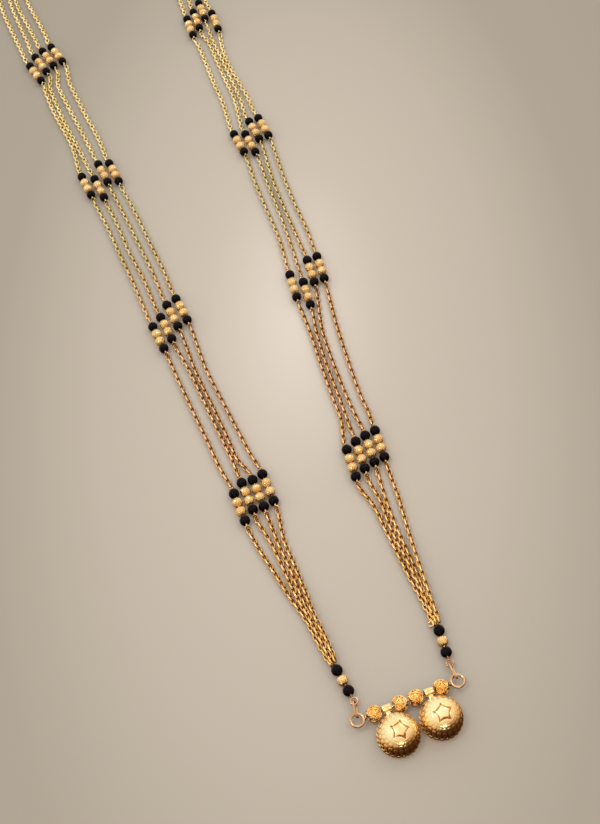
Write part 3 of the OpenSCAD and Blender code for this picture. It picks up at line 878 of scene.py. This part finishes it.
def cutBead():
    # gold bead with rows of dished diamond facets and painted shade in the dents, its hole along Y
    look = beadLook
    r, rows, count = pendant["beadD"] / 2, look["facetRows"], look["facets"]
    start = math.asin(look["hole"] / r)
    points, faces = [], []
    for k in range(rows + 1):
        a = start + (math.pi - 2 * start) * k / rows
        for j in range(count):
            t = 2 * math.pi * (j + 0.5 * (k % 2)) / count
            x, z = r * math.sin(a) * math.cos(t), r * math.sin(a) * math.sin(t)
            points.append(Vector((x, r * math.cos(a), z)))

    def at(k, j):
        return k * count + j % count

    for k in range(rows - 1):
        for j in range(count):
            odd = k % 2
            top, bottom = at(k, j), at(k + 2, j)
            left, right = at(k + 1, j - 1 + odd), at(k + 1, j + odd)
            middle = (points[top] + points[bottom] + points[left] + points[right]) / 4
            points.append(middle * ((r - look["dent"]) / r))
            m = len(points) - 1
            faces += [[top, left, m], [left, bottom, m], [bottom, right, m], [right, top, m]]
    inner = []  # the hole's edge at both ends
    for k, deep in ((0, -look["holeDeep"]), (rows, look["holeDeep"])):
        inner.append(range(len(points), len(points) + count))
        for p in [points[at(k, j)] for j in range(count)]:
            points.append(Vector((p.x * look["holeTaper"], p.y + deep, p.z * look["holeTaper"])))
    for j in range(count):
        i = (j + 1) % count
        faces.append([at(0, j), at(0, i), at(1, j)])
        faces.append([at(0, j), inner[0][j], inner[0][i], at(0, i)])
        faces.append([at(rows, j), at(rows, i), at(rows - 1, j + rows % 2)])
        faces.append([at(rows, i), inner[1][i], inner[1][j], at(rows, j)])
    # painted shade on the points sunk in the dents
    paintedShade = [look["dentDark"] if p.length < r - look["dent"] / 2 else 0.0 for p in points]
    return points, faces, paintedShade


def roundBead():
    # smooth glass bead with softened hole edges, its hole along Y
    r, hole = pendant["beadD"] / 2, beadLook["hole"]
    start = math.asin((hole + beadLook["glassEdge"]) / r)
    end = r * math.cos(start)
    lip = [(hole, end - 0.5), (hole, end - 0.12), (hole + 0.02, end - 0.04)]
    turns = [start + (math.pi - 2 * start) * k / 20 for k in range(21)]
    profile = lip + [(r * math.sin(a), r * math.cos(a)) for a in turns] + [(x, -z) for x, z in reversed(lip)]
    points, faces = revolve(profile, 28)
    turn = Matrix.Rotation(math.pi / 2, 4, "X")
    return [turn @ p for p in points], faces, None


def nearest(way, p):
    return min(range(len(way)), key=lambda n: (way[n] - p).length_squared)


def direction(way, n):
    return (way[min(n + 3, len(way) - 1)] - way[max(n - 3, 0)]).normalized()


def strandDirection(side, p):
    # direction of the strand that a bead is threaded on, and its place there is kept for the chains
    strand = min(range(1, 5), key=lambda i: min((q - p).length for q in strands[side, i][::12]))
    way = strands[side, strand]
    n = nearest(way, p)
    beadSpots.setdefault((side, strand), []).append(n)
    return direction(way, n)


def makeBeads(node, kind, alongAt):
    # all beads of one node, each turned along its string
    (points, faces, paintedShade), material, slot, finish = beadKinds[kind]
    shape = Shape()
    for p in cadSolids(node):
        shape.add(points, faces, aimY(alongAt(p), dice.uniform(0, 6.3), p), paintedShade)
    makePiece(f"{node}_{finish}", shape, material, node, kind == "black")


strandStep = 0.1  # millimetres from one point of a strand to the next
strands = {}
for side in sides:
    for i in range(1, 5):
        strands[side, i] = smoothWay(cadTubeWay(f"chain_{side}_{i}"), strandStep)
print("strand ways read:", {f"{k[0]}_{k[1]}": round(len(w) * strandStep) for k, w in strands.items()})

beadKinds = {
    "black": (roundBead(), blackGlass, "black bead", "glass"),
    "gold": (cutBead(), beadGold, "bead gold", "cut"),
}
dice = random.Random(7)
beadSpots = {}
for side in sides:
    for g in range(1, 6):
        for kind in beadKinds:
            makeBeads(f"{kind}_beads_{side}_{g}", kind, lambda p: strandDirection(side, p))
    along = stringPlace(side)[2]
    for kind in beadKinds:
        makeBeads(f"drop_{kind}_{side}", kind, lambda p: along)
print("beads made")


# Cable chains

chainLook = {
    "linkLen": 2.46, "linkW": 1.48, "wire": 0.52, "linkPoints": 14, "wireSides": 6,
    "pitch": 0.985,  # share of a tight link's room from one link to the next
    "lift": 0.75,  # lowest that the middle of a link lies
    # how the links roll, in degrees: every other one crosswise, with a slow swing and a little chance
    "crossRoll": 66, "swing": 12, "drift": 0.035, "ripple": 0.11, "chance": 6,
    # round loops at the ends of each bead group
    "loopR": 0.55, "loopWire": 0.36, "loopGap": 0.12, "loopRoll": 0.9, "groupsApart": 6, "firstAt": 0.45,
    # painted shade on the side of each link and loop that faces its middle
    "innerDark": 1.0,
    "paintedShadeShare": (1.0, 1.0, 0.6, 0.35, 0.5, 0.5),  # share of the painted shade inside the links kept on each stretch between bead groups
}


def groupsOf(spots):
    # first and last bead of each run of beads on a strand
    spots = sorted(spots)
    runs = [[spots[0]]]
    for n in spots[1:]:
        if (n - runs[-1][-1]) * strandStep > chainLook["groupsApart"]:
            runs.append([])
        runs[-1].append(n)
    return [(run[0], run[-1]) for run in runs]


def ringForm(way, wire, sidesRound):
    # closed ring of wire, with painted shade on the side that faces its middle
    points, faces = sweep(way, wire / 2, sidesRound, True)
    dark = []
    for k, p in enumerate(points):
        c = Vector(way[k // sidesRound])
        inward = (p - c).normalized().dot(-c.normalized())
        dark.append(chainLook["innerDark"] * smoothStep((inward + 0.5) / 0.7))
    return points, faces, dark


def makeStrand(side, i):
    look = chainLook
    way = strands[side, i]
    halfLong = (look["linkLen"] - look["wire"]) / 2
    halfWide = (look["linkW"] - look["wire"]) / 2
    oval = ovalWay(halfLong, halfWide, look["linkPoints"])
    linkPoints, linkFaces, linkDark = ringForm(oval, look["wire"], look["wireSides"])
    loop = ovalWay(look["loopR"], look["loopR"], 18)
    loopPoints, loopFaces, loopDark = ringForm(loop, look["loopWire"], 8)
    shape = Shape()
    own = random.Random(f"{side}{i}")
    drift = own.uniform(0, 6.3)

    def spot(n):
        p = way[max(0, min(len(way) - 1, int(round(n))))]
        return Vector((p.x, p.y, max(p.z, look["lift"])))

    # a straight wire through each bead group, with a loop at both ends
    reach = pendant["beadD"] / 2 + look["loopGap"] + look["loopR"] + look["loopWire"] / 2
    inset = look["loopR"] / strandStep
    ends = [0.0]
    for first, last in groupsOf(beadSpots[side, i]):
        a, b = first - reach / strandStep, last + reach / strandStep
        ends += [a, b]
        roll = own.uniform(-look["loopRoll"], look["loopRoll"])
        wireWay = [spot(n) for n in (a + inset, first, (first + last) / 2, last, b - inset)]
        shape.add(*sweep(wireWay, look["wire"] / 2, 8))
        for n in (a, b):
            shape.add(loopPoints, loopFaces, aimY(direction(way, int(n)), roll, spot(n)), loopDark)
    ends.append(float(len(way) - 1))

    # links between the groups, hooked into the loops
    hook = look["loopR"] - (look["wire"] + look["loopWire"]) / 2 + halfLong
    pitch = 2 * (halfLong - look["wire"] / 2) * look["pitch"]
    count = 0
    stretches = list(zip(ends[::2], ends[1::2]))
    for k, (a, b) in enumerate(stretches):
        # painted shade inside the links, scaled for each stretch
        dark = [d * look["paintedShadeShare"][k] for d in linkDark]
        a += (hook if k > 0 else look["firstAt"]) / strandStep
        b -= hook / strandStep if k + 1 < len(stretches) else 0
        links = max(2, round((b - a) * strandStep / pitch) + 1)
        for j in range(links):
            n = a + (b - a) * j / (links - 1)
            sway = math.sin(drift + look["drift"] * n * strandStep)
            sway += 0.4 * math.sin(2.3 * drift + look["ripple"] * n * strandStep)
            roll = look["swing"] * sway + (look["crossRoll"] if j % 2 == 0 else 0)
            roll += own.uniform(-look["chance"], look["chance"])
            place = aimY(direction(way, int(n)), math.radians(roll), spot(n))
            shape.add(linkPoints, linkFaces, place, dark)
        count += links
    makePiece(f"chain_{side}_{i}_links", shape, chainGold, f"chain_{side}_{i}")
    return count


links = {f"{side}_{i}": makeStrand(side, i) for side in sides for i in range(1, 5)}
print("chain links:", links)


# Small open ring left curled at the end of the right strands

curlLook = {"aside": (-1.2, 0.1, -0.3), "r": 0.70, "wire": 0.42, "gap": 40, "tip": 30, "turn": 160}


def makeCurl():
    look = curlLook
    turns = inRadians(*[look["gap"] / 2 + (360 - look["gap"]) * j / 24 for j in range(25)])
    way = [(look["r"] * math.cos(t), look["r"] * math.sin(t), 0) for t in turns]
    pinEye = stringPlace("right")[1]
    place = Matrix.Translation(pinEye + Vector(look["aside"]))
    place = place @ Matrix.Rotation(math.radians(look["turn"]), 4, "Z")
    place = place @ Matrix.Rotation(math.radians(look["tip"]), 4, "Y")
    shape = Shape()
    shape.add(*sweep(way, look["wire"] / 2, 10), place)
    makePiece("curl_ring_right", shape, chainGold)


makeCurl()
print("curl made")


# Clasp and its rings

claspLook = {
    "length": 10.0, "width": 5.0, "height": 3.6, "soft": 0.5, "seamHalf": 0.15, "seamDeep": 0.12,
    "endSteps": [(0, 0.5), (0, 0.3), (0.1, 0.08), (0.3, 0)],  # distance from an end, and the inset there
    "eyeR": 0.9, "ringR": 1.6, "wire": 0.6,
}


def claspSection(x, inset):
    # outline of the box with rounded edges, standing on Z = 0
    look = claspLook
    wide, tall, soft = look["width"] / 2, look["height"], look["soft"]
    corners = (
        (wide - soft, tall - soft, 0), (soft - wide, tall - soft, 90),
        (soft - wide, soft, 180), (wide - soft, soft, 270),
    )
    row = []
    for y, z, start in corners:
        for a in inRadians(*range(start, start + 91, 15)):
            row.append(Vector((x, y + (soft - inset) * math.cos(a), z + (soft - inset) * math.sin(a))))
    return row


def makeClasp():
    # plain box clasp with a seam round its middle, and an eye at each end
    look = claspLook
    low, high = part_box("clasp")
    middle = Vector(((low.x + high.x) / 2, (low.y + high.y) / 2, 0)) / mm
    half, seam, deep = look["length"] / 2, look["seamHalf"], look["seamDeep"]
    steps = [(inward - half, inset) for inward, inset in look["endSteps"]]
    steps += [(-seam, 0), (-0.08, deep), (0.08, deep), (seam, 0)]
    steps += [(half - inward, inset) for inward, inset in reversed(look["endSteps"])]
    shape = Shape()
    shape.add(*bridge([claspSection(x, inset) for x, inset in steps], caps=True))
    ringZ = max(look["ringR"] + look["wire"] / 2, look["height"] / 2)
    for outward in sides.values():
        eye = Matrix.Translation((outward * (half + look["eyeR"]), 0, ringZ))
        shape.add(*wireRing(look["eyeR"], look["wire"], 40, 14), eye)
    shape.move(Matrix.Translation(middle))
    makePiece("clasp_box", shape, bowlGold, "clasp")


def makeEndRing(side):
    low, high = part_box(f"end_ring_{side}")
    centre = (low + high) / 2 / mm
    ring = Shape()
    upright = Matrix.Translation(centre) @ Matrix.Rotation(math.pi / 2, 4, "X")
    ring.add(*wireRing(claspLook["ringR"], claspLook["wire"], 48, 14), upright)
    makePiece(f"end_ring_{side}_round", ring, wireGold, f"end_ring_{side}")


makeClasp()
for side in sides:
    makeEndRing(side)
print("clasp made")
